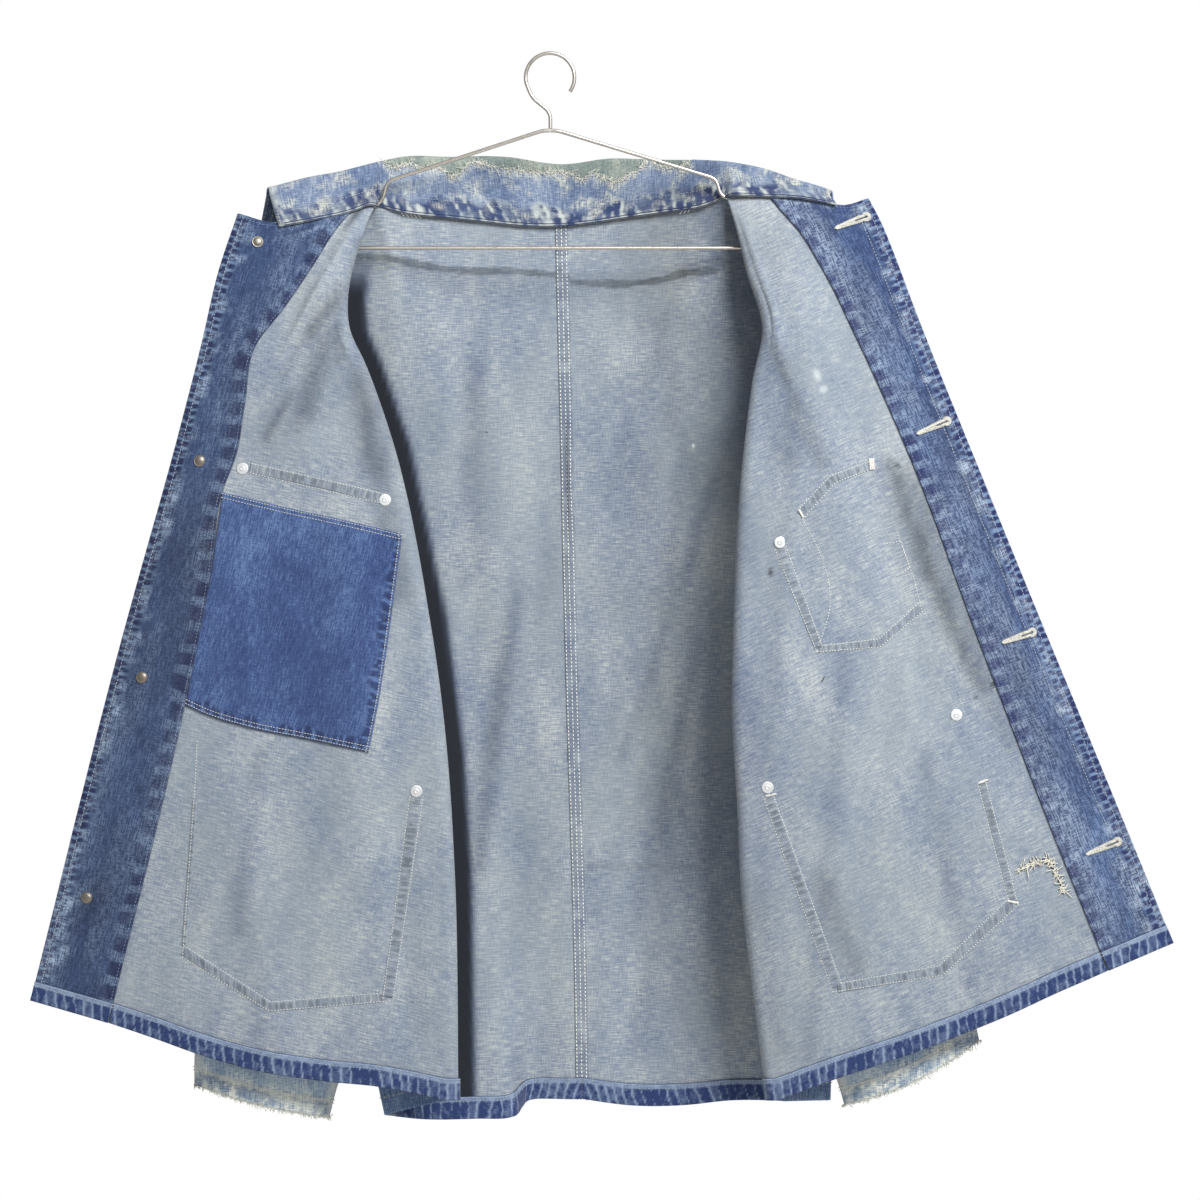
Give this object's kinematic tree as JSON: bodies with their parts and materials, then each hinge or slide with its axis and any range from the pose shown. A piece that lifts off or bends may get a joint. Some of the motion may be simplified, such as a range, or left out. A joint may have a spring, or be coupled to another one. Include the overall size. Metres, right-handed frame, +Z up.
{
  "type": "denim work jacket on wire hanger",
  "caption": "Worn denim work jacket hung open on a wire hanger, its fronts turned outwards to show the inside, with a patch, facings, hem and rolled collar.",
  "frame": {"origin": "inside of the top of the hanger's hook, where a rail carries it", "axes": "+Z up, +X to the right of somebody who looks at the open jacket, -Y towards them"},
  "size_m": [0.9029, 0.123, 0.8561],
  "materials": {
    "denim_outside": "washed indigo twill",
    "denim_dark": "dark indigo twill",
    "denim_reverse": "pale reverse of worn denim",
    "nickel": "dull nickel plate",
    "aluminium": "pale metal washer",
    "steel_wire": "plated wire"
  },
  "bodies": {
    "root": {"back_left": "denim_reverse", "back_right": "denim_reverse", "button_1": "nickel", "button_2": "nickel", "button_3": "nickel", "button_4": "nickel", "button_nail_1": "nickel", "button_nail_2": "nickel", "button_nail_3": "nickel", "button_nail_4": "nickel", "chest_pocket_left": "denim_outside", "chest_pocket_right": "denim_outside", "collar": "denim_outside", "facing_left": "denim_dark", "facing_right": "denim_dark", "front_left": "denim_reverse", "front_right": "denim_reverse", "hanger_arm_left": "steel_wire", "hanger_arm_right": "steel_wire", "hanger_bar": "steel_wire", "hanger_hook": "steel_wire", "hem_back_left": "denim_outside", "hem_back_right": "denim_outside", "hem_front_left": "denim_outside", "hem_front_right": "denim_outside", "inner_patch": "denim_dark", "lower_pocket_left": "denim_outside", "lower_pocket_right": "denim_outside", "rivet_cap_left_1": "nickel", "rivet_cap_left_2": "nickel", "rivet_cap_left_3": "nickel", "rivet_cap_right_1": "nickel", "rivet_cap_right_2": "nickel", "rivet_cap_right_3": "nickel", "rivet_washer_left_1": "aluminium", "rivet_washer_left_2": "aluminium", "rivet_washer_left_3": "aluminium", "rivet_washer_right_1": "aluminium", "rivet_washer_right_2": "aluminium", "rivet_washer_right_3": "aluminium", "sleeve_back_left": "denim_outside", "sleeve_back_right": "denim_outside", "sleeve_front_left": "denim_outside", "sleeve_front_right": "denim_outside"}
  },
  "joints": []
}
